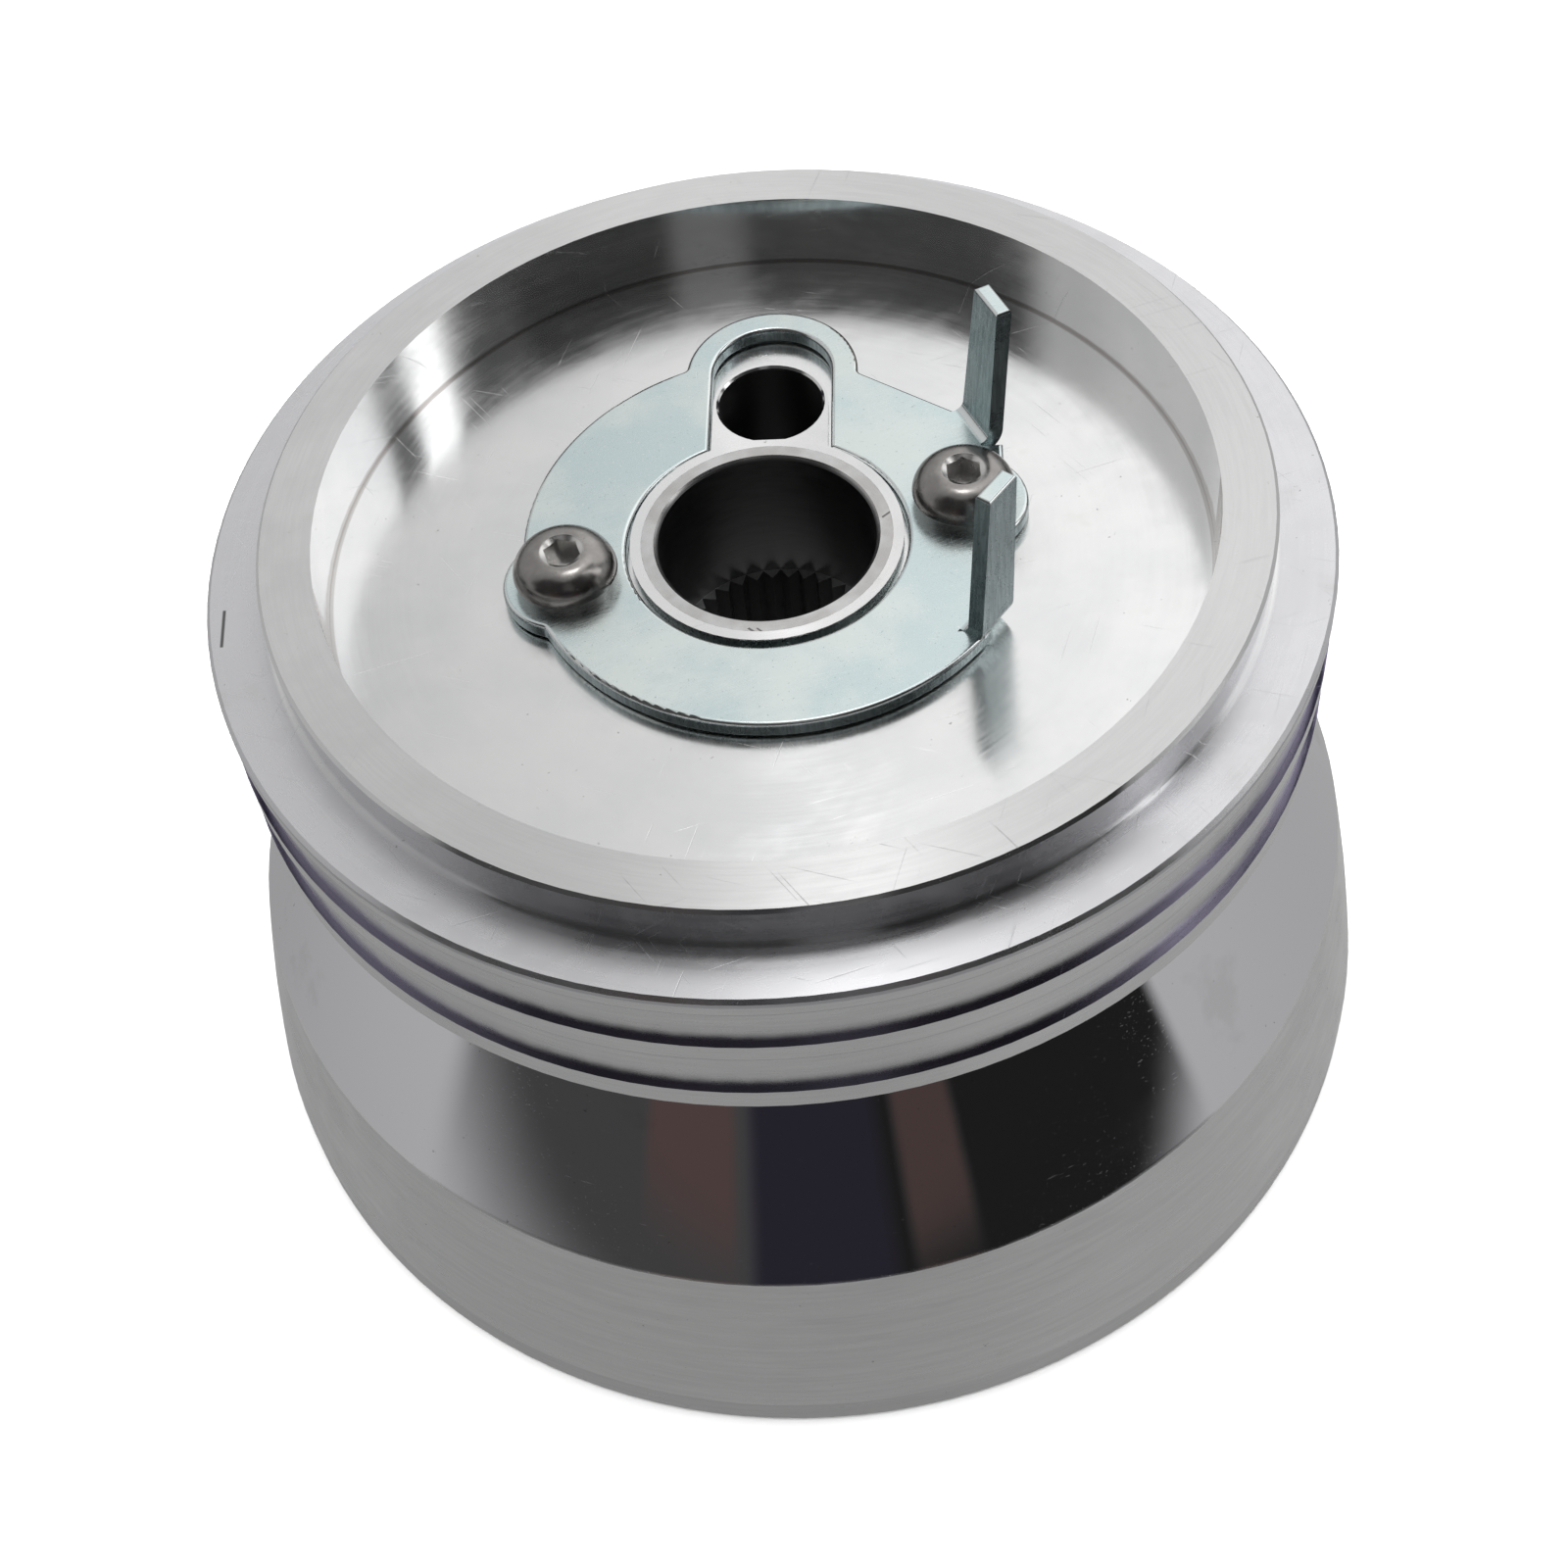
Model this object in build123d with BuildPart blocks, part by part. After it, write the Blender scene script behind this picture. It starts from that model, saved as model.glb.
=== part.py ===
"""Polished billet steering-wheel hub adapter, as an assembly of separate pieces.

Frame: millimetres, +Z up along the steering axis, origin at the centre of the wheel face.
The wheel bolts to the face at Z = 0. The column enters the pocket at the top.
+Y runs from the shaft bore to the horn hole.
"""

from build123d import *
import os

os.makedirs("parts", exist_ok=True)

# ---- Hub body: heights above the wheel face, and radii -------------------------------------
HEIGHT = 67.4
BASE_R = 58.3
BASE_LIP = 3.5
BASE_EDGE = 0.5
CREST_R = 55.1
CREST_Z = 22.5
BASE_BULGE = 0.2
WAIST_R = 40.8

RING_R = 50.8
RING_BOTTOM_Z = 47.2
RING_EDGE = 0.35
SHOULDER_OUTER_Z = 63.1
SHOULDER_INNER_Z = 63.0
RIM_R = 45.3
RIM_EDGE = 0.3
GROOVE_DEPTH = 0.6
GROOVES = [(49.4, 54.55), (56.45, 61.25)]

POCKET_R = 40.4
FLOOR_Z = 59.6
PAD_R = 20.8
PAD_Z = 59.9

# ---- Boss, shaft bore and horn hole ---------------------------------------------------------
BOSS_R = 12.5
BOSS_Z = 61.75
HORN_Y = 17.35
HORN_R = 5.0
HORN_FLAT = 0.22
HORN_EDGE = 0.2
ARM_R = 5.5

# ---- Wheel side -----------------------------------------------------------------------------
BUTTON_RECESS_R = 28.0
BUTTON_RECESS_DEPTH = 10.0
NUT_RECESS_R = 24.0
NUT_SEAT_Z = 30.0
RECESS_EDGE = 0.6
WHEEL_BOLT_PCD = 70.0
WHEEL_BOLT_COUNT = 6
WHEEL_BOLT_TAP_R = 2.1
WHEEL_BOLT_DEPTH = 15.0

# ---- Splined sleeve -------------------------------------------------------------------------
SLEEVE_R = 11.5
SLEEVE_BORE_R = 10.0
SLEEVE_EDGE = 0.35
SLEEVE_FLANGE_R = 12.0
SLEEVE_FLANGE_T = 3.0
SPLINE_TEETH = 36
SPLINE_TOP_Z = 46.5
SPLINE_ROOT_R = 9.95
SPLINE_TIP_R = 8.85

# ---- Cancelling plate -----------------------------------------------------------------------
PLATE_T = 1.5
PLATE_TOP_Z = PAD_Z + PLATE_T
PLATE_ROLL = 0.4
PLATE_BURR = 0.2
DISC_R = 23.25
DISC_CENTRE = (0.8, 1.4)
LOBE_R = 8.3
LOBE_Y = 22.3
SLOT_R = 5.75
BOSS_CLEAR_R = 12.9
EAR_R = 5.9
SHOULDER_R = 21.8
OUTLINE_FILLET = 0.8
LEFT_EAR_CORNERS = [(-19.5, -10), (-22, -2)]

# The two tabs are bent up square to the plate. Each foot is the middle of a tab's inner face,
# with local X outwards and local Y along its width. The sides run from BASE to TOP along Y.
TAB_BEND_R = 0.9
TAB_EDGE = 0.3
TAB_LEG = 3.0
BEND_START = -TAB_BEND_R
BEND_CLEAR = PLATE_T + 0.1
REAR_FACING = 26
REAR_FOOT = Plane(
    (19.4, 13.7, PAD_Z), x_dir=Vector(1, 0).rotate(Axis.Z, REAR_FACING), z_dir=(0, 0, 1)
)
REAR_BASE = (-2.5, 2.6)
REAR_TOP = (-2.6, 1.6)
REAR_LEAN = 0.8
REAR_TOP_Z = 76.3
FRONT_FACING = -36
FRONT_FOOT = Plane(
    (19.3, -10.3, PAD_Z), x_dir=Vector(1, 0).rotate(Axis.Z, FRONT_FACING), z_dir=(0, 0, 1)
)
FRONT_BASE = (-2.4, 2.4)
FRONT_TOP = (-1.1, 2.8)
FRONT_LEAN = 0.0
FRONT_TOP_Z = 77.2

# ---- Plate screws and lock washers ----------------------------------------------------------
SCREW_ORBIT_R = 18.46
SCREW_ANGLE = 12.9
SCREW_R = 2.5
SCREW_LENGTH = 10.0
SCREW_TIP = 0.4
SCREW_HOLE_EXTRA = 2.0
PLATE_HOLE_R = 2.75
HEAD_R = 4.75
HEAD_H = 2.75
HEAD_FLAT_R = 2.1
HEAD_RIM = 0.3
HEAD_DOME_OUT = 0.55
HEAD_DOME_UP = 0.45
SOCKET_FLATS = 3.0
SOCKET_DEPTH = 1.9
SOCKET_MOUTH_R = 2.0
SOCKET_MOUTH_DEPTH = 0.3
WASHER_R = 4.6
WASHER_BORE_R = 2.6
WASHER_T = 1.0
WASHER_GAP = 0.8
WASHER_SLANT = 25

HEAD_SEAT_Z = PLATE_TOP_Z + WASHER_T
# Cutting shapes run past the face that they cut by OVERRUN. TOLERANCE is for finding a face or
# an edge by its place.
OVERRUN = 1.0
TOLERANCE = 0.01


def polar(radius, degrees):
    """Point at a radius and an angle from +X, in the plane of the wheel face."""
    return Vector(radius, 0).rotate(Axis.Z, degrees)


SCREWS = {
    "right": polar(SCREW_ORBIT_R, SCREW_ANGLE),
    "left": polar(SCREW_ORBIT_R, SCREW_ANGLE + 180),
}

# ---- hub_body: one turning, with the arm, the holes and the threads added ---------------------
with BuildPart() as hub_body:
    with BuildSketch(Plane.XZ):
        with BuildLine():
            base_top = (BASE_R, BASE_LIP)
            crest = (CREST_R, CREST_Z)
            middle = ((BASE_R + CREST_R) / 2 + BASE_BULGE, (BASE_LIP + CREST_Z) / 2)
            Polyline(
                (0, FLOOR_Z),
                (0, 0),
                (BASE_R - BASE_EDGE, 0),
                (BASE_R, BASE_EDGE),
                base_top,
            )
            ThreePointArc(base_top, middle, crest)
            Polyline(
                crest,
                (WAIST_R, RING_BOTTOM_Z),
                (RING_R, RING_BOTTOM_Z),
                (RING_R, SHOULDER_OUTER_Z - RING_EDGE),
                (RING_R - RING_EDGE, SHOULDER_OUTER_Z),
                (RIM_R, SHOULDER_INNER_Z),
                (RIM_R, HEIGHT - RIM_EDGE),
                (RIM_R - RIM_EDGE, HEIGHT),
                (POCKET_R, HEIGHT),
                (POCKET_R, FLOOR_Z),
                (0, FLOOR_Z),
            )
        make_face()
    revolve(axis=Axis.Z)

    # Two shallow square grooves round the ring.
    with BuildSketch(Plane.XZ):
        for low, high in GROOVES:
            with Locations((RING_R - GROOVE_DEPTH + OVERRUN, (low + high) / 2)):
                Rectangle(2 * OVERRUN, high - low)
    revolve(axis=Axis.Z, mode=Mode.SUBTRACT)

    # Low pad that the cancelling plate sits on, a little clear of the floor at its edge.
    with BuildSketch(Plane.XY.offset(FLOOR_Z)):
        Circle(PAD_R)
    extrude(amount=PAD_Z - FLOOR_Z)

    # Raised boss round the shaft, with its arm out to the horn hole.
    with BuildSketch(Plane.XY.offset(FLOOR_Z)):
        Circle(BOSS_R)
        with Locations((0, HORN_Y)):
            Circle(ARM_R)
        with Locations((0, HORN_Y / 2)):
            Rectangle(2 * ARM_R, HORN_Y)
    extrude(amount=BOSS_Z - FLOOR_Z)

    # Bore for the sleeve, with a counterbore below it for the sleeve's flange.
    with BuildSketch(Plane.XY.offset(NUT_SEAT_Z - OVERRUN)):
        Circle(SLEEVE_R)
    extrude(amount=BOSS_Z - NUT_SEAT_Z + 2 * OVERRUN, mode=Mode.SUBTRACT)
    with BuildSketch(Plane.XY.offset(NUT_SEAT_Z - OVERRUN)):
        Circle(SLEEVE_FLANGE_R)
    extrude(amount=SLEEVE_FLANGE_T + OVERRUN, mode=Mode.SUBTRACT)

    # Horn hole: round, with a narrow flat on the side nearest the shaft.
    with BuildSketch(Plane.XY.offset(NUT_SEAT_Z - OVERRUN)):
        with Locations((0, HORN_Y)):
            Circle(HORN_R)
        with Locations((0, HORN_Y - HORN_R)):
            Rectangle(2 * HORN_R, 2 * HORN_FLAT, mode=Mode.SUBTRACT)
    extrude(amount=BOSS_Z - NUT_SEAT_Z + 2 * OVERRUN, mode=Mode.SUBTRACT)
    horn_mouth = hub_body.faces().sort_by(Axis.Z).filter_by(
        lambda face: abs(face.center().Z - BOSS_Z) < TOLERANCE
    )[0]
    chamfer(horn_mouth.inner_wires().sort_by_distance((0, HORN_Y, BOSS_Z))[0].edges(), HORN_EDGE)

    # Recess for the horn button, and the deeper one for the shaft nut.
    with BuildSketch(Plane.XY):
        Circle(BUTTON_RECESS_R)
    extrude(amount=BUTTON_RECESS_DEPTH, mode=Mode.SUBTRACT)
    with BuildSketch(Plane.XY):
        Circle(NUT_RECESS_R)
    extrude(amount=NUT_SEAT_Z, mode=Mode.SUBTRACT)
    recess_rim = hub_body.edges().filter_by(GeomType.CIRCLE).filter_by(
        lambda edge: abs(edge.radius - BUTTON_RECESS_R) < TOLERANCE
        and abs(edge.center().Z) < TOLERANCE
    )
    chamfer(recess_rim, RECESS_EDGE)

    # Tapped holes for the wheel, drawn at their tapping size.
    with BuildSketch(Plane.XY):
        with PolarLocations(WHEEL_BOLT_PCD / 2, WHEEL_BOLT_COUNT, start_angle=90):
            Circle(WHEEL_BOLT_TAP_R)
    extrude(amount=WHEEL_BOLT_DEPTH, mode=Mode.SUBTRACT)

    # Tapped holes for the plate screws, drawn at their thread's outer size.
    with BuildSketch(Plane.XY.offset(PAD_Z)):
        with Locations(*SCREWS.values()):
            Circle(SCREW_R)
    extrude(amount=HEAD_SEAT_Z - SCREW_LENGTH - SCREW_HOLE_EXTRA - PAD_Z, mode=Mode.SUBTRACT)
hub_body.part.label = "hub_body"

# ---- spline_sleeve: pressed into the hub, flush with the boss, splined at its lower end -------
with BuildPart() as spline_sleeve:
    with BuildSketch(Plane.XZ):
        with BuildLine():
            Polyline(
                (SLEEVE_BORE_R, SPLINE_TOP_Z),
                (SLEEVE_BORE_R, BOSS_Z - SLEEVE_EDGE),
                (SLEEVE_BORE_R + SLEEVE_EDGE, BOSS_Z),
                (SLEEVE_R, BOSS_Z),
                (SLEEVE_R, NUT_SEAT_Z + SLEEVE_FLANGE_T),
                (SLEEVE_FLANGE_R, NUT_SEAT_Z + SLEEVE_FLANGE_T),
                (SLEEVE_FLANGE_R, NUT_SEAT_Z),
                (0, NUT_SEAT_Z),
                (0, SPLINE_TOP_Z),
                (SLEEVE_BORE_R, SPLINE_TOP_Z),
            )
        make_face()
    revolve(axis=Axis.Z)

    # V-shaped teeth: their roots and tips alternate round the hole.
    half_pitch = 180 / SPLINE_TEETH
    corners = []
    for tooth in range(SPLINE_TEETH):
        corners.append(polar(SPLINE_ROOT_R, 2 * tooth * half_pitch))
        corners.append(polar(SPLINE_TIP_R, (2 * tooth + 1) * half_pitch))
    with BuildSketch(Plane.XY.offset(NUT_SEAT_Z)):
        with BuildLine():
            Polyline(*corners, close=True)
        make_face()
    extrude(amount=SPLINE_TOP_Z - NUT_SEAT_Z, mode=Mode.SUBTRACT)
spline_sleeve.part.label = "spline_sleeve"


def make_tab(foot, base, top, lean, top_z):
    """A tongue bent up from the plate at its foot, tipped outwards by lean at its top."""
    outer_r = TAB_BEND_R + PLATE_T
    rise = top_z - PAD_Z
    half_width = max(abs(side) for side in base + top) + OVERRUN
    with BuildPart() as tab:
        with BuildSketch(Plane(foot.origin, x_dir=foot.x_dir, z_dir=-foot.y_dir)):
            with BuildLine():
                Line((-TAB_LEG, 0), (BEND_START, 0))
                RadiusArc((BEND_START, 0), (PLATE_T, outer_r), -outer_r)
                Polyline((PLATE_T, outer_r), (PLATE_T + lean, rise), (lean, rise), (0, outer_r))
                RadiusArc((0, outer_r), (BEND_START, PLATE_T), TAB_BEND_R)
                Polyline((BEND_START, PLATE_T), (-TAB_LEG, PLATE_T), (-TAB_LEG, 0))
            make_face()
        extrude(amount=half_width, both=True)
        back = foot.origin - foot.x_dir * TAB_LEG
        with BuildSketch(Plane(back, x_dir=foot.y_dir, z_dir=foot.x_dir)):
            Polygon(
                (base[0], 0),
                (base[1], 0),
                (base[1], outer_r),
                (top[1], rise),
                (top[0], rise),
                (base[0], outer_r),
                align=None,
            )
        extrude(amount=TAB_LEG + PLATE_T + lean, mode=Mode.INTERSECT)
        fillet(tab.edges().group_by(Axis.Z)[-1], TAB_EDGE)
    return tab.part


rear_tab = make_tab(REAR_FOOT, REAR_BASE, REAR_TOP, REAR_LEAN, REAR_TOP_Z)
front_tab = make_tab(FRONT_FOOT, FRONT_BASE, FRONT_TOP, FRONT_LEAN, FRONT_TOP_Z)

# ---- cancel_plate: pressed plate with a lobe, two ears and two bent-up tabs --------------------
with BuildPart() as cancel_plate:
    with BuildSketch(Plane.XY.offset(PAD_Z)) as outline:
        with Locations(DISC_CENTRE):
            Circle(DISC_R)
        # The disc is sheared straight from the lobe to the rear tab, between the tabs, and at
        # the line where each tab's bend starts.
        rear_far = REAR_FOOT.from_local_coords((BEND_START, REAR_BASE[1], 0))
        rear_near = REAR_FOOT.from_local_coords((BEND_START, REAR_BASE[0], 0))
        front_far = FRONT_FOOT.from_local_coords((BEND_START, FRONT_BASE[1], 0))
        front_near = FRONT_FOOT.from_local_coords((BEND_START, FRONT_BASE[0], 0))
        shear = [
            (LOBE_R - OVERRUN, LOBE_Y),
            (rear_far.X, rear_far.Y),
            (rear_near.X, rear_near.Y),
            (SHOULDER_R, rear_near.Y),
            (SHOULDER_R, 0),
            (front_far.X, front_far.Y),
            (front_near.X, front_near.Y),
            (2 * DISC_R, front_near.Y),
            (2 * DISC_R, 2 * DISC_R),
            (LOBE_R - OVERRUN, 2 * DISC_R),
        ]
        Polygon(*shear, align=None, mode=Mode.SUBTRACT)
        with Locations((0, LOBE_Y)):
            Circle(LOBE_R)
        with Locations(*SCREWS.values()):
            Circle(EAR_R)
        Circle(BOSS_CLEAR_R, mode=Mode.SUBTRACT)
        with Locations((0, LOBE_Y)):
            Circle(SLOT_R, mode=Mode.SUBTRACT)
        with Locations((0, LOBE_Y / 2)):
            Rectangle(2 * SLOT_R, LOBE_Y, mode=Mode.SUBTRACT)
        with Locations(*SCREWS.values()):
            Circle(PLATE_HOLE_R, mode=Mode.SUBTRACT)
        for corner in [(-LOBE_R, LOBE_Y), (LOBE_R, LOBE_Y), *LEFT_EAR_CORNERS]:
            fillet(outline.vertices().sort_by_distance(corner)[0], OUTLINE_FILLET)
    extrude(amount=PLATE_T)

    # The press rolls the upper edge over and leaves the lower one a little round.
    bends = [foot.from_local_coords((BEND_START, 0, 0)) for foot in (REAR_FOOT, FRONT_FOOT)]
    for height_rank, radius in [(-1, PLATE_ROLL), (0, PLATE_BURR)]:
        face = cancel_plate.faces().sort_by(Axis.Z)[height_rank]
        free_edges = face.edges().filter_by(
            lambda edge: min((edge.center() - bend).length for bend in bends) > BEND_CLEAR
        )
        fillet(free_edges, radius)
    add(rear_tab)
    add(front_tab)
cancel_plate.part.label = "cancel_plate"


def make_screw(centre, socket_angle):
    """Button-head hexagon-socket screw; its thread is drawn as a plain shank."""
    with BuildPart() as screw:
        with BuildSketch(Plane.XZ):
            with BuildLine():
                Polyline(
                    (0, HEAD_H),
                    (0, -SCREW_LENGTH),
                    (SCREW_R - SCREW_TIP, -SCREW_LENGTH),
                    (SCREW_R, SCREW_TIP - SCREW_LENGTH),
                    (SCREW_R, 0),
                    (HEAD_R - HEAD_RIM / 2, 0),
                    (HEAD_R, HEAD_RIM),
                )
                dome = (
                    (HEAD_R + HEAD_FLAT_R) / 2 + HEAD_DOME_OUT,
                    (HEAD_H + HEAD_RIM) / 2 + HEAD_DOME_UP,
                )
                ThreePointArc((HEAD_R, HEAD_RIM), dome, (HEAD_FLAT_R, HEAD_H))
                Line((HEAD_FLAT_R, HEAD_H), (0, HEAD_H))
            make_face()
        revolve(axis=Axis.Z)
        with BuildSketch(Plane.XY.offset(HEAD_H - SOCKET_DEPTH)):
            RegularPolygon(SOCKET_FLATS / 2, 6, major_radius=False, rotation=socket_angle)
        extrude(amount=SOCKET_DEPTH, mode=Mode.SUBTRACT)
        with BuildSketch(Plane.XZ):
            with BuildLine():
                Polyline(
                    (0, HEAD_H),
                    (SOCKET_MOUTH_R, HEAD_H),
                    (SOCKET_FLATS / 2, HEAD_H - SOCKET_MOUTH_DEPTH),
                    (0, HEAD_H - SOCKET_MOUTH_DEPTH),
                    close=True,
                )
            make_face()
        revolve(axis=Axis.Z, mode=Mode.SUBTRACT)
    return Pos(centre.X, centre.Y, HEAD_SEAT_Z) * screw.part


def make_washer(centre, gap_angle):
    """Split spring washer, flattened under its screw's head."""
    with BuildPart() as washer:
        with BuildSketch():
            Circle(WASHER_R)
            Circle(WASHER_BORE_R, mode=Mode.SUBTRACT)
        extrude(amount=WASHER_T)
        slanted = Plane.XZ.rotated((0, WASHER_SLANT, 0)).offset(-WASHER_BORE_R + OVERRUN)
        with BuildSketch(slanted):
            Rectangle(WASHER_GAP, 4 * WASHER_T)
        extrude(amount=-WASHER_R, mode=Mode.SUBTRACT)
    return Pos(centre.X, centre.Y, PLATE_TOP_Z) * Rot(Z=gap_angle) * washer.part


SOCKET_ANGLES = {"left": -71, "right": -87}
GAP_ANGLES = {"left": 35, "right": -20}

export_step(hub_body.part, "parts/hub_body.step")
export_step(spline_sleeve.part, "parts/spline_sleeve.step")
export_step(cancel_plate.part, "parts/cancel_plate.step")
for side, centre in SCREWS.items():
    plate_screw = make_screw(centre, SOCKET_ANGLES[side])
    plate_screw.label = f"plate_screw_{side}"
    export_step(plate_screw, f"parts/plate_screw_{side}.step")
    lock_washer = make_washer(centre, GAP_ANGLES[side])
    lock_washer.label = f"lock_washer_{side}"
    export_step(lock_washer, f"parts/lock_washer_{side}.step")
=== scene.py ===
from math import cos, radians, sin

import bmesh
import bpy
from mathutils import Matrix, Vector


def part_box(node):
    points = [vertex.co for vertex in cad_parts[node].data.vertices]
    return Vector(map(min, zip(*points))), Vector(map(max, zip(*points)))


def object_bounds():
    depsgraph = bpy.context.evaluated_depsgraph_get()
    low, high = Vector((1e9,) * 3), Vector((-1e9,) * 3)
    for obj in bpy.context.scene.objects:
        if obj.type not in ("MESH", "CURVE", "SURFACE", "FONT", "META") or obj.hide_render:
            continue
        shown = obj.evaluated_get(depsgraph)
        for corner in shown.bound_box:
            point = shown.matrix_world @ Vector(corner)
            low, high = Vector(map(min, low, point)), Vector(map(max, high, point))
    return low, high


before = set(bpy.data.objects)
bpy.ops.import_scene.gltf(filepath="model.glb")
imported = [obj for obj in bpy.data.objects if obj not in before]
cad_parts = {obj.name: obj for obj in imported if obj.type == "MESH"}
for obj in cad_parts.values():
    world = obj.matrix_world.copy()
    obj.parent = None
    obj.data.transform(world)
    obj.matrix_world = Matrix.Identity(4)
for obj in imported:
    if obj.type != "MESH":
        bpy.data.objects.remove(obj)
cad_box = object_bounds()

MM = 0.001
MICRON = 1e-6

# ---------------------------------------------------------------- viewpoint
# Azimuth about the axis and elevation above the horizon, then the camera's own turns.
VIEW_AZIMUTH = radians(5.9)
VIEW_ELEVATION = radians(45.156)
VIEW_YAW = radians(-0.256)
VIEW_PITCH = radians(7.050)
VIEW_ROLL = radians(6.454)
VIEW_DISTANCE = 0.21206
VIEW_LENS = 54.387
VIEW_SENSOR = 36.0

# ---------------------------------------------------------------- the hub's surfaces
# Heights above the wheel face and radii from the axis, in millimetres, as in the CAD.
RIM_Z = 67.4
RIM_R = 45.3
SHOULDER_Z = 63.0
RING_R = 50.8
RING_BOTTOM_Z = 47.2
GROOVE_TOPS = (61.25, 54.55)
CREST_Z = 22.5
LIP_Z = 3.5
POCKET_R = 40.4
POCKET_FLOOR_Z = 59.6
BOSS_Z = 61.75
HORN_Y = 17.35
HORN_R = 5.0
# Limits that aren't edges of the CAD: the boss and its arm end inside this radius, and
# below this height the cone is the only aluminium, at any radius.
BOSS_REACH = 30.5
WIDE_CONE_Z = 34.0

# ---------------------------------------------------------------- the small pieces
SLEEVE_BORE_R = 10.0
SPLINE_TOP_Z = 46.5
SOCKET_R = 1.85

# Short marks on level faces: degrees from +X, millimetres from the axis, half a length,
# half a width, and degrees off the radius.
SHOULDER_MARK = (-168.1, 49.3, 2.2, 0.14, 84)
SLEEVE_NICKS = (
    (-94, 11.6, 0.8, 0.1, 55),
    (12, 11.4, 0.9, 0.1, 30),
    (-91, 11.5, 0.6, 0.07, 50),
)

# A quarter turn: reflections spread across the tool marks that run round the axis.
ACROSS_TOOL_MARKS = 0.25
# How high a stretched noise is cut, so that only sparse scratches are left of it.
SCRATCH_CUT = 0.71
SCRATCH_SOFT = 0.05


class Graph:
    """Short calls that add nodes to one shader tree."""

    def __init__(self, tree):
        self.tree = tree
        tree.nodes.clear()

    def node(self, kind, **settings):
        made = self.tree.nodes.new("ShaderNode" + kind)
        for name, value in settings.items():
            setattr(made, name, value)
        return made

    def feed(self, socket, value):
        """Links a socket to another node's output, or sets it to a plain value."""
        if isinstance(value, bpy.types.NodeSocket):
            self.tree.links.new(value, socket)
        else:
            socket.default_value = value

    def math(self, operation, a, b=0.0):
        made = self.node("Math", operation=operation)
        self.feed(made.inputs[0], a)
        self.feed(made.inputs[1], b)
        return made.outputs[0]

    def fold(self, operation, terms):
        total = terms[0]
        for term in terms[1:]:
            total = self.math(operation, total, term)
        return total

    def add(self, *terms):
        return self.fold("ADD", terms)

    def times(self, *terms):
        return self.fold("MULTIPLY", terms)

    def most(self, *terms):
        return self.fold("MAXIMUM", terms)

    def ramp(self, value, low, high, start=0.0, end=1.0):
        """Goes smoothly from start to end while a value goes from low to high."""
        made = self.node("MapRange", clamp=True, interpolation_type="SMOOTHSTEP")
        for socket, entry in zip(made.inputs, (value, low, high, start, end)):
            self.feed(socket, entry)
        return made.outputs[0]

    def vary(self, noise, start=0.0, end=1.0):
        """Spreads the middle of a noise, where nearly all of it lies, from start to end."""
        return self.ramp(noise, 0.3, 0.7, start, end)

    def above(self, value, edge, soft):
        return self.ramp(value, edge - soft, edge + soft)

    def below(self, value, edge, soft):
        return self.ramp(value, edge - soft, edge + soft, 1.0, 0.0)

    def band(self, value, low, high, soft):
        return self.times(self.above(value, low, soft), self.below(value, high, soft))

    def blend(self, mask, a, b):
        made = self.node("Mix", data_type="FLOAT")
        for socket, entry in zip((made.inputs[0], made.inputs[2], made.inputs[3]), (mask, a, b)):
            self.feed(socket, entry)
        return made.outputs[0]

    def tint(self, mask, a, b):
        made = self.node("Mix", data_type="RGBA")
        for socket, entry in zip((made.inputs[0], made.inputs[6], made.inputs[7]), (mask, a, b)):
            self.feed(socket, (*entry, 1.0) if isinstance(entry, tuple) else entry)
        return made.outputs[2]

    def layer(self, colour, layers):
        """Lays colours over one another: each layer is a mask, its strength and a colour."""
        for mask, strength, over in layers:
            colour = self.tint(self.times(mask, strength), colour, over)
        return colour

    def vector(self, x, y, z):
        made = self.node("CombineXYZ")
        for socket, entry in zip(made.inputs, (x, y, z)):
            self.feed(socket, entry)
        return made.outputs[0]

    def split(self, vector):
        made = self.node("SeparateXYZ")
        self.feed(made.inputs[0], vector)
        return made.outputs

    def noise(self, where, scale, detail, rough=0.5):
        made = self.node("TexNoise")
        self.feed(made.inputs["Vector"], where)
        self.feed(made.inputs["Scale"], scale)
        self.feed(made.inputs["Detail"], detail)
        self.feed(made.inputs["Roughness"], rough)
        return made.outputs["Fac"]

    def stretched(self, where, angles, lengths):
        """Turns and stretches a position, so that a noise on it becomes long thin marks."""
        made = self.node("Mapping", vector_type="TEXTURE")
        self.feed(made.inputs["Vector"], where)
        made.inputs["Rotation"].default_value = angles
        made.inputs["Scale"].default_value = lengths
        return made.outputs[0]

    def bump(self, height, depth, before=None):
        made = self.node("Bump")
        made.inputs["Strength"].default_value = 1.0
        made.inputs["Distance"].default_value = depth
        self.feed(made.inputs["Height"], height)
        if before is not None:
            self.feed(made.inputs["Normal"], before)
        return made.outputs[0]


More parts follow.
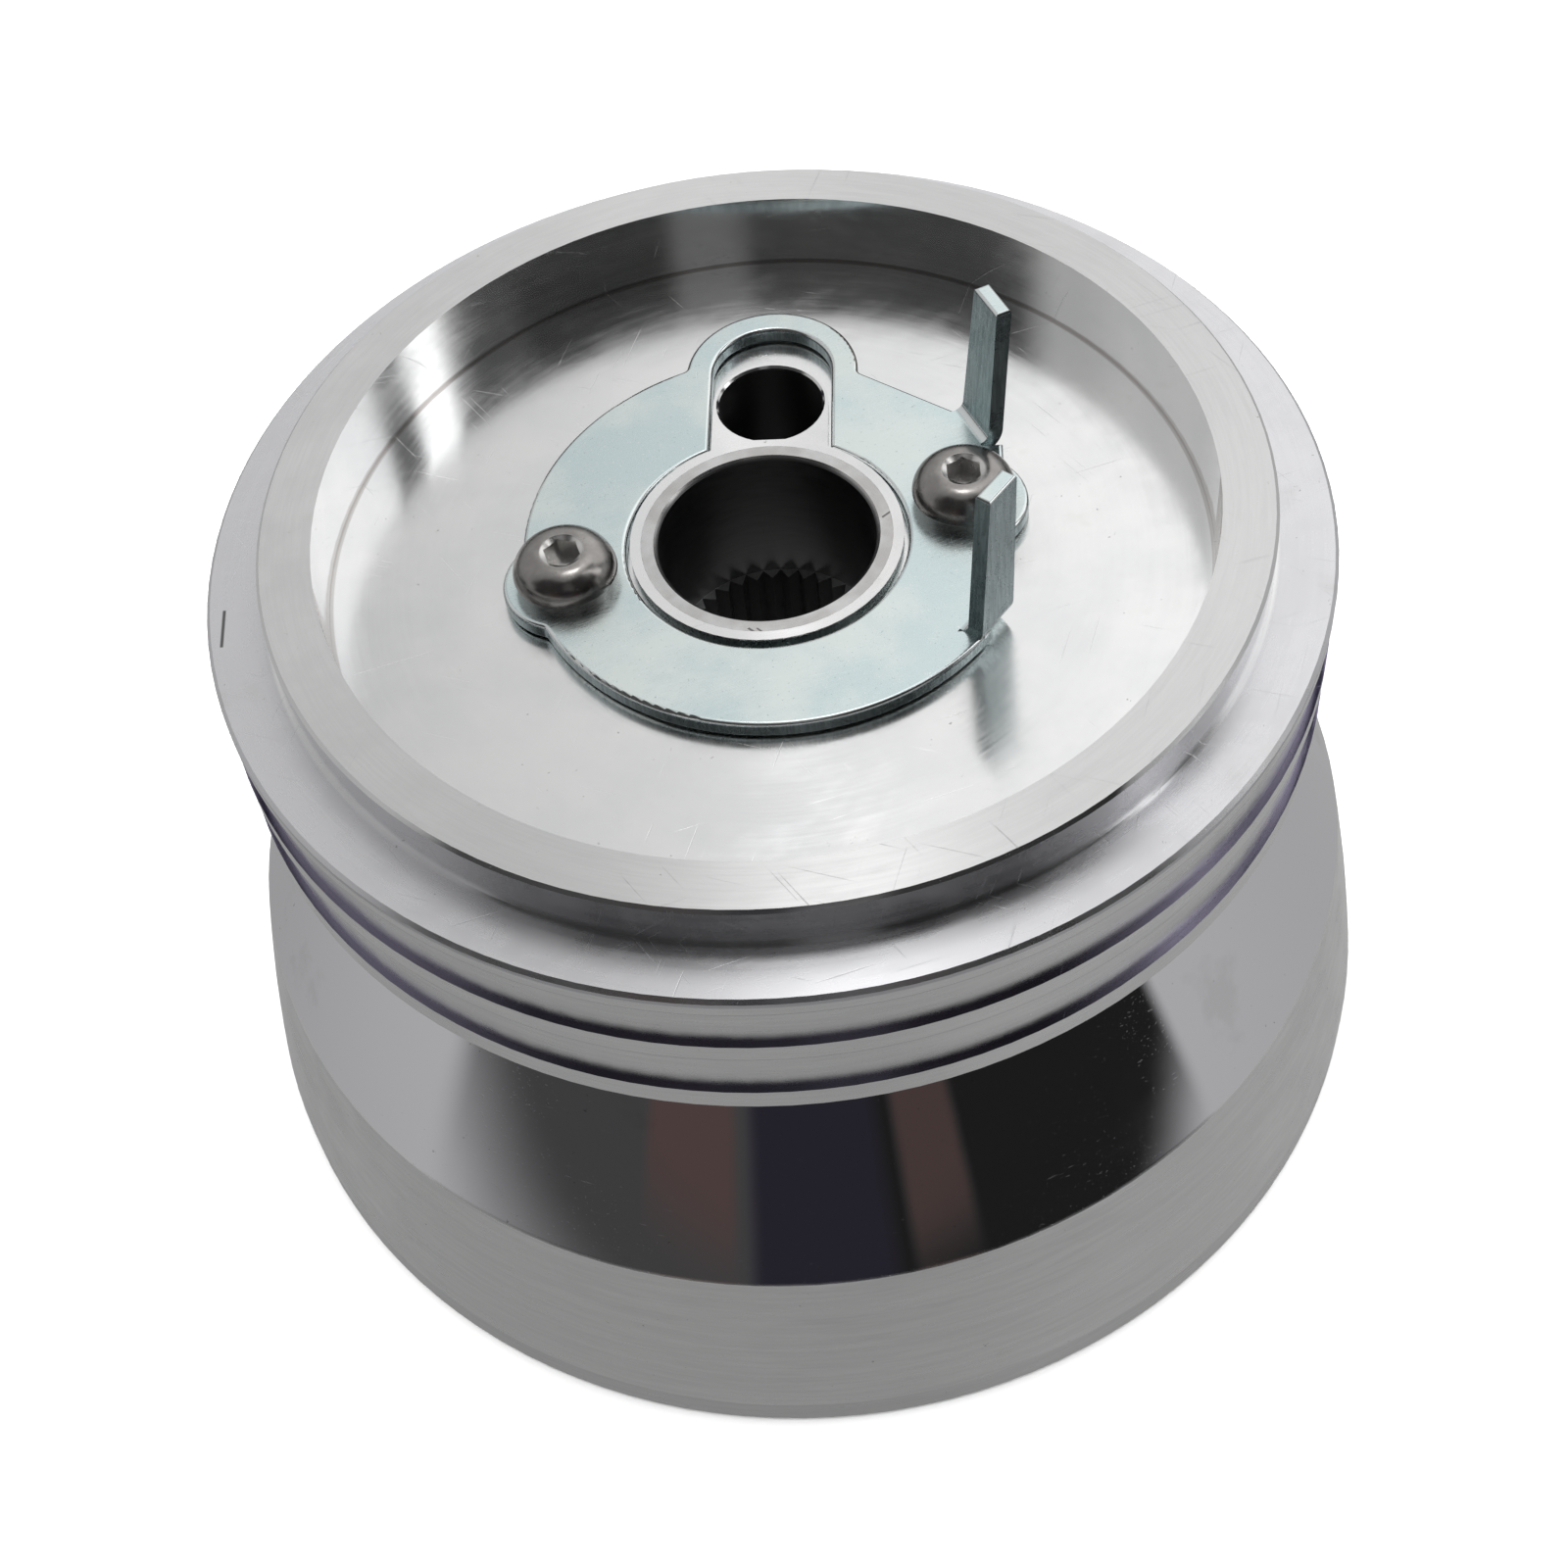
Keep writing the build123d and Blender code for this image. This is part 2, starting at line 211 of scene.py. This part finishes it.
class Metal(Graph):
    """A procedural metal, with the position in millimetres and the radius about its axis."""

    def __init__(self, name, anisotropy=0.0, centre=(0.0, 0.0)):
        self.material = bpy.data.materials.new(name)
        self.material.use_nodes = True
        super().__init__(self.material.node_tree)
        self.shader = self.node("BsdfPrincipled")
        self.shader.inputs["Metallic"].default_value = 1.0
        self.shader.inputs["Anisotropic"].default_value = anisotropy
        self.shader.inputs["Anisotropic Rotation"].default_value = ACROSS_TOOL_MARKS
        self.feed(self.node("OutputMaterial").inputs[0], self.shader.outputs[0])
        if anisotropy:
            tangent = self.node("Tangent", direction_type="RADIAL", axis="Z")
            self.feed(self.shader.inputs["Tangent"], tangent.outputs[0])
        scaled = self.node("VectorMath", operation="SCALE")
        self.feed(scaled.inputs[0], self.node("TexCoord").outputs["Object"])
        scaled.inputs["Scale"].default_value = 1.0 / MM
        self.where = scaled.outputs[0]
        x, y, self.z = self.split(self.where)
        self.x = self.math("SUBTRACT", x, centre[0])
        self.y = self.math("SUBTRACT", y, centre[1])
        self.r = self.distance(self.x, self.y)
        self.cos = self.math("DIVIDE", self.x, self.r)
        self.sin = self.math("DIVIDE", self.y, self.r)
        self.up = self.split(self.node("NewGeometry").outputs["True Normal"])[2]

    def distance(self, x, y):
        """Never quite zero, so that it can be divided by."""
        squared = self.add(self.times(x, x), self.times(y, y))
        return self.math("SQRT", self.math("MAXIMUM", squared, 0.0001))

    def rings(self, around, pitch, detail=3.0):
        """Turning marks: fast across the tool's path and slow along it."""
        along = self.add(self.r, self.times(self.z, 0.7))
        where = self.vector(
            self.times(self.cos, around), self.times(self.sin, around), self.times(along, pitch)
        )
        return self.noise(where, 1.0, detail, 0.6)

    def scratches(self, angles, width, length):
        """Sparse fine scratches: stretched noise, cut high, broken up by a slower one."""
        lines = []
        for index, angle in enumerate(angles):
            where = self.stretched(self.where, (0.0, 0.0, radians(angle)), (length, width, width))
            noise = self.noise(where, 1.0, 1.0)
            line = self.ramp(noise, SCRATCH_CUT, SCRATCH_CUT + SCRATCH_SOFT)
            patches = self.ramp(self.noise(self.where, 0.11 + 0.03 * index, 1.0), 0.46, 0.6)
            lines.append(self.times(line, patches))
        return self.math("MINIMUM", self.add(*lines), 1.0)

    def rotated(self, x, y, degrees):
        c, s = cos(radians(degrees)), sin(radians(degrees))
        return (
            self.add(self.times(x, c), self.times(y, s)),
            self.add(self.times(x, -s), self.times(y, c)),
        )

    def mark(self, angle, radius, half_length, half_width, tilt):
        """A short straight mark on a level face."""
        out, side = self.rotated(self.x, self.y, angle)
        along, over = self.rotated(self.math("SUBTRACT", out, radius), side, tilt)
        soft = half_width / 2
        return self.times(
            self.band(along, -half_length, half_length, soft),
            self.band(over, -half_width, half_width, soft),
        )

    def finish(self, colour, roughness, normal):
        self.feed(self.shader.inputs["Base Color"], colour)
        self.feed(self.shader.inputs["Roughness"], roughness)
        self.feed(self.shader.inputs["Normal"], normal)
        return self.material


def aluminium():
    m = Metal("polished_aluminium", anisotropy=0.8)

    # Zones, each 1 on its own surface of the turning and 0 on the rest.
    level = m.math("ABSOLUTE", m.up)
    flat = m.ramp(level, 0.86, 0.96)
    upright = m.ramp(level, 0.2, 0.4, 1.0, 0.0)
    on_ring = m.above(m.r, RING_R - 1.0, 0.2)
    rim_top = m.times(flat, m.above(m.z, RIM_Z - 0.45, 0.15))
    rim_wall = m.times(
        upright,
        m.band(m.z, SHOULDER_Z - 0.7, RIM_Z + 0.1, 0.1),
        m.above(m.r, RIM_R - 0.35, 0.15),
    )
    pocket_wall = m.times(
        upright,
        m.above(m.z, POCKET_FLOOR_Z - 0.1, 0.1),
        m.band(m.r, POCKET_R - 0.9, POCKET_R + 0.6, 0.2),
    )
    pocket_corner_dirt_and_shade = m.times(
        m.band(m.z, POCKET_FLOOR_Z - 0.3, POCKET_FLOOR_Z + 0.25, 0.08),
        m.band(m.r, POCKET_R - 0.35, POCKET_R + 0.6, 0.08),
    )
    pocket_floor = m.times(
        flat,
        m.band(m.z, POCKET_FLOOR_Z - 0.6, POCKET_FLOOR_Z + 0.7, 0.1),
        m.below(m.r, POCKET_R, 0.2),
    )
    boss = m.times(
        flat, m.band(m.z, BOSS_Z - 0.55, BOSS_Z + 0.35, 0.1), m.below(m.r, BOSS_REACH, 0.5)
    )
    shoulder = m.times(
        m.band(m.z, SHOULDER_Z - 0.8, SHOULDER_Z + 0.4, 0.1), m.above(m.r, RIM_R + 0.3, 0.2)
    )
    ring = m.times(m.band(m.z, RING_BOTTOM_Z - 0.2, SHOULDER_Z - 0.2, 0.1), on_ring)
    groove_flanks = m.times(
        m.ramp(level, 0.4, 0.6), m.band(m.z, RING_BOTTOM_Z + 0.4, SHOULDER_Z - 1.0, 0.1), on_ring
    )
    groove_edge_shade = m.most(*(m.band(m.z, top - 0.11, top + 0.05, 0.05) for top in GROOVE_TOPS))
    groove_edge_shade = m.times(groove_edge_shade, on_ring)
    cone = m.most(
        m.times(
            m.band(m.z, CREST_Z + 0.2, RING_BOTTOM_Z - 0.2, 0.15), m.below(m.r, RING_R - 1.1, 0.2)
        ),
        m.band(m.z, CREST_Z + 0.2, WIDE_CONE_Z, 0.15),
    )
    base = m.below(m.z, CREST_Z, 0.1)
    lip = m.below(m.z, LIP_Z, 0.1)
    horn_hole = m.times(
        m.below(m.distance(m.x, m.math("SUBTRACT", m.y, HORN_Y)), HORN_R + 0.25, 0.1),
        m.below(m.z, BOSS_Z - 0.3, 0.15),
        upright,
    )

    # Wear and tool marks.
    blotch = m.noise(m.where, 0.09, 4.0, 0.6)
    smudge = m.noise(m.stretched(m.where, (0.3, 0.2, 0.5), (9.0, 5.0, 4.0)), 1.0, 3.0, 0.65)
    grit = m.noise(m.where, 1.1, 3.0, 0.7)
    fine = m.rings(3.0, 2.6)
    broad = m.rings(1.3, 0.55, 2.0)
    arcs = m.rings(7.0, 4.0, 2.0)
    scuffs = m.times(m.scratches((20, 74, 128, 163), 0.22, 14.0), m.blend(upright, 1.0, 0.1))
    pits = m.times(m.ramp(grit, 0.70, 0.74), m.ramp(blotch, 0.42, 0.55))
    handling_mark = m.times(m.mark(*SHOULDER_MARK), shoulder)

    roughness = 0.14
    for mask, value in (
        (rim_top, 0.36),
        (rim_wall, 0.08),
        (pocket_wall, 0.05),
        (pocket_floor, 0.165),
        (boss, 0.26),
        (shoulder, 0.27),
        (ring, 0.27),
        (groove_flanks, 0.1),
        (base, 0.3),
        (cone, 0.03),
        (horn_hole, 0.35),
    ):
        roughness = m.blend(mask, roughness, value)
    uneven = m.add(m.vary(fine, -0.02, 0.02), m.ramp(smudge, 0.35, 0.7, -0.02, 0.04))
    roughness = m.add(
        roughness,
        m.times(uneven, m.blend(cone, 1.0, 0.2)),
        m.times(scuffs, m.blend(cone, 0.14, 0.05)),
    )
    roughness = m.math("MAXIMUM", roughness, 0.02)

    bright = m.tint(m.vary(blotch), (0.86, 0.865, 0.87), (0.93, 0.93, 0.925))
    satin = m.tint(m.vary(smudge), (0.82, 0.82, 0.815), (0.9, 0.9, 0.895))
    satin = m.tint(m.ramp(arcs, 0.35, 0.65, 0.0, 0.35), satin, (0.74, 0.74, 0.74))
    satin = m.tint(m.times(rim_top, 0.35), satin, (0.66, 0.66, 0.66))
    colour = m.layer(
        m.tint(m.most(rim_top, ring, base), bright, satin),
        (
            (shoulder, 1.0, (0.8, 0.8, 0.82)),
            # Painted shade: the rim's outer wall is coloured darker than the rest of the polished
            # aluminium.
            (rim_wall, 1.0, (0.60, 0.60, 0.62)),
            (cone, 1.0, (0.9, 0.89, 0.92)),
            (m.ramp(blotch, 0.62, 0.75), 0.2, (0.55, 0.53, 0.50)),
            # A dark brownish line in the corner at the foot of the pocket wall: partly dirt,
            # partly painted shade.
            (pocket_corner_dirt_and_shade, 0.35, (0.22, 0.17, 0.14)),
            # Painted shade: the groove flanks are coloured dark violet to stand in for the shade
            # and dark reflection they hold.
            (groove_flanks, 1.0, (0.26, 0.24, 0.33)),
            # Painted shade: thin dark lines along the top edges of the grooves.
            (groove_edge_shade, 0.6, (0.25, 0.24, 0.28)),
            (lip, 0.22, (0.35, 0.35, 0.36)),
            (pits, 0.5, (0.2, 0.18, 0.16)),
            (handling_mark, 0.85, (0.05, 0.05, 0.05)),
            # Painted shade: the inside of the horn hole is coloured near black.
            (horn_hole, 1.0, (0.17, 0.17, 0.17)),
        ),
    )

    marks = m.add(
        m.times(fine, 0.5), m.times(broad, 1.2), m.times(arcs, m.blend(rim_top, 0.12, 0.8))
    )
    kept = m.times(m.blend(cone, 1.0, 0.1), m.blend(m.most(base, ring), 1.0, 0.35))
    normal = m.bump(m.times(marks, kept), 1.6 * MICRON)
    dents = m.times(m.add(scuffs, pits), m.blend(cone, -1.0, -0.3))
    return m.finish(colour, roughness, m.bump(dents, 2.5 * MICRON, normal))


def sleeve_steel():
    m = Metal("machined_steel", anisotropy=0.4)
    fine = m.rings(3.0, 5.0)
    stain = m.noise(m.where, 0.25, 3.0, 0.6)
    bore = m.most(m.below(m.r, SLEEVE_BORE_R + 0.175, 0.125), m.below(m.z, BOSS_Z - 0.6, 0.15))
    tooth_ends = m.times(m.below(m.z, SPLINE_TOP_Z + 0.075, 0.025), m.ramp(m.up, 0.6, 0.8))
    nicks = m.most(*(m.mark(*nick) for nick in SLEEVE_NICKS))
    # Painted shade: the inside of the bore is coloured near black, and the upward ends of the
    # spline teeth get a painted highlight.
    bore_shade_and_tooth_highlight = m.tint(fine, (0.13, 0.13, 0.13), (0.2, 0.2, 0.2))
    bore_shade_and_tooth_highlight = m.tint(tooth_ends, bore_shade_and_tooth_highlight, (0.75, 0.75, 0.76))
    colour = m.tint(m.ramp(stain, 0.35, 0.7), (0.70, 0.70, 0.70), (0.55, 0.54, 0.53))
    colour = m.layer(colour, ((nicks, 1.0, (0.2, 0.19, 0.19)), (bore, 1.0, bore_shade_and_tooth_highlight)))
    roughness = m.add(m.vary(fine, 0.2, 0.3), m.times(bore, 0.1))
    normal = m.bump(m.times(nicks, -1.0), 20 * MICRON, m.bump(fine, 1.5 * MICRON))
    return m.finish(colour, roughness, normal)


def zinc():
    m = Metal("zinc_plated_steel")
    speck = m.noise(m.where, 3.2, 3.0, 0.7)
    cloud = m.noise(m.where, 0.12, 3.0, 0.55)
    grain = m.noise(m.stretched(m.where, (0.0, 0.0, 0.4), (1.6, 0.18, 0.6)), 1.0, 3.0, 0.6)
    drawn = m.noise(m.stretched(m.where, (0.0, 0.0, 0.0), (0.25, 0.25, 3.5)), 1.0, 3.0, 0.6)
    # Sheared edges and the tabs stand upright; rolled edges lean between them and the face.
    upright = m.ramp(m.math("ABSOLUTE", m.up), 0.45, 0.7, 1.0, 0.0)
    rolled = m.times(m.band(m.up, 0.4, 0.96, 0.03), 0.8)
    # Painted shade: every upright face, the tabs' faces as well as the sheared edges, takes this
    # darker colour; the drawn streaks in it are the steel's own.
    sheared_and_shaded = m.tint(m.ramp(drawn, 0.35, 0.65), (0.25, 0.31, 0.32), (0.40, 0.48, 0.49))
    colour = m.layer(
        m.tint(m.ramp(cloud, 0.35, 0.65), (0.68, 0.79, 0.80), (0.80, 0.87, 0.85)),
        (
            (m.ramp(speck, 0.62, 0.74), 1.0, (0.90, 0.93, 0.92)),
            (m.ramp(speck, 0.27, 0.36, 1.0, 0.0), 1.0, (0.45, 0.53, 0.53)),
            (upright, 0.9, sheared_and_shaded),
            # Painted highlight: the rolled edges are coloured near white, besides being smoother.
            (rolled, 1.0, (0.95, 0.97, 0.97)),
        ),
    )
    scuffs = m.scratches((12, 97, 141), 0.16, 7.0)
    roughness = m.add(m.vary(cloud, 0.24, 0.32), m.vary(grain, -0.04, 0.05))
    roughness = m.add(m.blend(rolled, roughness, 0.14), m.times(scuffs, 0.1))
    dents = m.times(m.add(scuffs, m.times(upright, drawn)), -1.0)
    return m.finish(colour, roughness, m.bump(dents, 2.0 * MICRON, m.bump(speck, 2.5 * MICRON)))


def stainless(node):
    """Screw steel, with a painted highlight: a brighter socket in the middle of the screw's own
    box.
    """
    low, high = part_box(node)
    middle = (low + high) / 2 / MM
    m = Metal("stainless_steel_" + node, centre=(middle.x, middle.y))
    cloud = m.noise(m.where, 0.6, 3.0, 0.6)
    fine = m.noise(m.where, 5.0, 2.0, 0.6)
    colour = m.layer(
        m.tint(m.ramp(cloud, 0.35, 0.7), (0.32, 0.305, 0.295), (0.40, 0.385, 0.37)),
        (
            (m.ramp(fine, 0.68, 0.75), 1.0, (0.16, 0.15, 0.14)),
            # Painted highlight: the socket is coloured bright.
            (m.below(m.r, SOCKET_R + 0.125, 0.125), 0.9, (0.86, 0.85, 0.83)),
        ),
    )
    roughness = m.add(m.vary(cloud, 0.18, 0.25), m.vary(fine, -0.01, 0.03))
    return m.finish(colour, roughness, m.bump(fine, 0.4 * MICRON))


def washer_steel():
    m = Metal("spring_steel")
    fine = m.noise(m.stretched(m.where, (0.0, 0.0, 0.0), (0.8, 0.8, 0.12)), 1.0, 3.0, 0.6)
    colour = m.tint(m.vary(fine), (0.30, 0.29, 0.28), (0.44, 0.42, 0.41))
    return m.finish(colour, m.vary(fine, 0.22, 0.38), m.bump(fine, 2.0 * MICRON))


def paint(node, material):
    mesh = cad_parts[node].data
    mesh.materials.clear()
    mesh.materials.append(material)


spring_steel = washer_steel()
paint("hub_body", aluminium())
paint("spline_sleeve", sleeve_steel())
paint("cancel_plate", zinc())
for side in ("left", "right"):
    paint("plate_screw_" + side, stainless("plate_screw_" + side))
    paint("lock_washer_" + side, spring_steel)


# ---------------------------------------------------------------- floor
FLOOR_HALF_SIDE = 5.0
FLOOR_GAP = 0.0001


def make_floor():
    """Pale paper, seen from above only: from below it lets the underside show."""
    shape = bmesh.new()
    half = FLOOR_HALF_SIDE
    corners = [(-half, -half), (half, -half), (half, half), (-half, half)]
    shape.faces.new([shape.verts.new((x, y, 0.0)) for x, y in corners])
    mesh = bpy.data.meshes.new("floor")
    shape.to_mesh(mesh)
    shape.free()
    material = bpy.data.materials.new("floor_paper")
    material.use_nodes = True
    g = Graph(material.node_tree)
    shader = g.node("BsdfPrincipled")
    shader.inputs["Roughness"].default_value = 0.9
    shader.inputs["Specular IOR Level"].default_value = 0.1
    mottle = g.noise(g.node("TexCoord").outputs["Object"], 30.0, 3.0)
    g.feed(shader.inputs["Base Color"], g.tint(mottle, (0.93, 0.93, 0.93), (0.96, 0.96, 0.96)))
    one_sided = g.node("MixShader")
    g.feed(one_sided.inputs[0], g.node("NewGeometry").outputs["Backfacing"])
    g.feed(one_sided.inputs[1], shader.outputs[0])
    g.feed(one_sided.inputs[2], g.node("BsdfTransparent").outputs[0])
    g.feed(g.node("OutputMaterial").inputs[0], one_sided.outputs[0])
    mesh.materials.append(material)
    floor = bpy.data.objects.new("floor", mesh)
    floor.location.z = cad_box[0].z - FLOOR_GAP
    floor.visible_glossy = False
    bpy.context.scene.collection.objects.link(floor)
    return floor


floor = make_floor()


# ---------------------------------------------------------------- studio
# The room seen in the metal, by direction. Azimuth is 0 in front of the object, on the
# viewpoint's side, and 90 to its right; azimuths and elevations are in degrees.
# The brightness wherever no panel or wall is:
ROOM = 0.42
# Beyond the object stands a bright wall, brighter to the right than to the left.
WALL_AZIMUTHS = (96, 118)
WALL_ELEVATIONS = (8, 28)
WALL_SIDES = (-0.28, 0.26)
WALL_BRIGHTNESS = (0.52, 1.04)
GREY = (1.0, 1.0, 1.0)
VIOLET = (0.85, 0.78, 1.1)
BROWN = (1.25, 0.85, 0.78)
# Azimuth from and to, elevation from and to, softness, brightness and colour. Each panel
# covers the ones before it.
PANELS = (
    # The lower half of the room, which takes the place of the floor in reflections.
    (-200, 200, -95, -20, 12, 0.34, GREY),
    (30, 200, -95, -20, 20, 0.40, GREY),
    # The dark side behind the viewpoint, low and high, to the left and to the right.
    (-82, 0, 24, 72, 7, 0.048, GREY),
    (-72, 0, -10, 30, 4, 0.05, GREY),
    (-3, 65, -10, 30, 2, 0.012, GREY),
    (-3, 78, 26, 74, 5, 0.03, GREY),
    # Dim strips round one bright strip, on the right.
    (60, 82, 40, 66, 5, 0.1, GREY),
    (97, 110, 20, 48, 2, 0.1, GREY),
    (102, 124, 50, 66, 3, 0.12, GREY),
    (84, 97, 22, 68, 1.5, 1.6, GREY),
    # Muted strips that show in the cone, and a pale one above them.
    (-34, -18, -4, 28, 1.5, 0.06, BROWN),
    (-15, 8, -8, 34, 2, 0.022, VIOLET),
    (11, 22, -4, 26, 1.5, 0.05, BROWN),
    (-2, 16, 34, 64, 4, 0.15, GREY),
)
# A small lamp over the far side, for highlights, and a wide one for the floor.
KEY_AZIMUTH = radians(172)
KEY_ELEVATION = radians(74)
KEY_DISTANCE = 0.8
KEY_SIDE = 0.15
KEY_WATTS = 0.34
FLOOR_LIGHT_STRENGTH = 4.4
FLOOR_LIGHT_ANGLE = radians(80)


def make_world():
    """Panels for the light and the reflections, and plain white for the camera itself."""
    world = bpy.data.worlds.new("studio")
    world.use_nodes = True
    g = Graph(world.node_tree)
    turn = g.node("VectorRotate", rotation_type="Z_AXIS")
    g.feed(turn.inputs["Vector"], g.node("TexCoord").outputs["Generated"])
    turn.inputs["Angle"].default_value = -VIEW_AZIMUTH
    x, y, z = g.split(turn.outputs[0])
    azimuth = g.math("DEGREES", g.math("ARCTAN2", x, g.times(y, -1.0)))
    elevation = g.math("DEGREES", g.math("ARCSINE", z))
    beyond = g.times(
        g.ramp(g.math("ABSOLUTE", azimuth), *WALL_AZIMUTHS), g.ramp(elevation, *WALL_ELEVATIONS)
    )
    light = g.blend(beyond, ROOM, g.ramp(x, *WALL_SIDES, *WALL_BRIGHTNESS))
    tint = GREY
    for left, right, low, high, soft, brightness, colour in PANELS:
        mask = g.times(g.band(azimuth, left, right, soft), g.band(elevation, low, high, soft))
        light = g.blend(mask, light, brightness)
        tint = g.tint(mask, tint, colour)
    room = g.node("Background")
    g.feed(room.inputs["Color"], tint)
    g.feed(room.inputs["Strength"], light)
    seen = g.node("Background")
    seen.inputs["Color"].default_value = (1.0, 1.0, 1.0, 1.0)
    choice = g.node("MixShader")
    g.feed(choice.inputs[0], g.node("LightPath").outputs["Is Camera Ray"])
    g.feed(choice.inputs[1], room.outputs[0])
    g.feed(choice.inputs[2], seen.outputs[0])
    g.feed(g.node("OutputWorld").inputs[0], choice.outputs[0])
    bpy.context.scene.world = world


def make_lamp(name, kind, strength):
    data = bpy.data.lights.new(name, kind)
    data.energy = strength
    lamp = bpy.data.objects.new(name, data)
    bpy.context.scene.collection.objects.link(lamp)
    return lamp


def make_key_light():
    """A small square lamp that faces the middle of the rim."""
    lamp = make_lamp("key", "AREA", KEY_WATTS)
    lamp.data.shape = "RECTANGLE"
    lamp.data.size = lamp.data.size_y = KEY_SIDE
    around = KEY_AZIMUTH + VIEW_AZIMUTH
    away = Vector(
        (
            sin(around) * cos(KEY_ELEVATION),
            -cos(around) * cos(KEY_ELEVATION),
            sin(KEY_ELEVATION),
        )
    )
    lamp.location = Vector((0, 0, RIM_Z * MM)) + away * KEY_DISTANCE
    lamp.rotation_euler = away.to_track_quat("Z", "Y").to_euler()


def make_floor_light():
    """Wide overhead light that evens out the floor and leaves a soft shadow on it."""
    lamp = make_lamp("floor_light", "SUN", FLOOR_LIGHT_STRENGTH)
    lamp.data.angle = FLOOR_LIGHT_ANGLE
    lamp.visible_glossy = False


make_world()
make_key_light()
make_floor_light()


# ---------------------------------------------------------------- camera
def make_camera():
    data = bpy.data.cameras.new("camera")
    data.lens = VIEW_LENS
    data.sensor_width = VIEW_SENSOR
    data.clip_start, data.clip_end = 0.01, 50.0
    back = Vector((0, -cos(VIEW_ELEVATION), sin(VIEW_ELEVATION)))
    right = Vector((1, 0, 0))
    level = Matrix((right, back.cross(right), back))
    aim = (
        Matrix.Rotation(VIEW_ROLL, 3, "Z")
        @ Matrix.Rotation(VIEW_PITCH, 3, "X")
        @ Matrix.Rotation(VIEW_YAW, 3, "Y")
    )
    round_axis = Matrix.Rotation(VIEW_AZIMUTH, 3, "Z")
    place = (round_axis @ (aim @ level).transposed()).to_4x4()
    place.translation = round_axis @ (back * VIEW_DISTANCE) + Vector((0, 0, RIM_Z * MM))
    camera = bpy.data.objects.new("camera", data)
    camera.matrix_world = place
    bpy.context.scene.collection.objects.link(camera)
    bpy.context.scene.camera = camera


make_camera()
bpy.context.scene.view_settings.view_transform = "Standard"
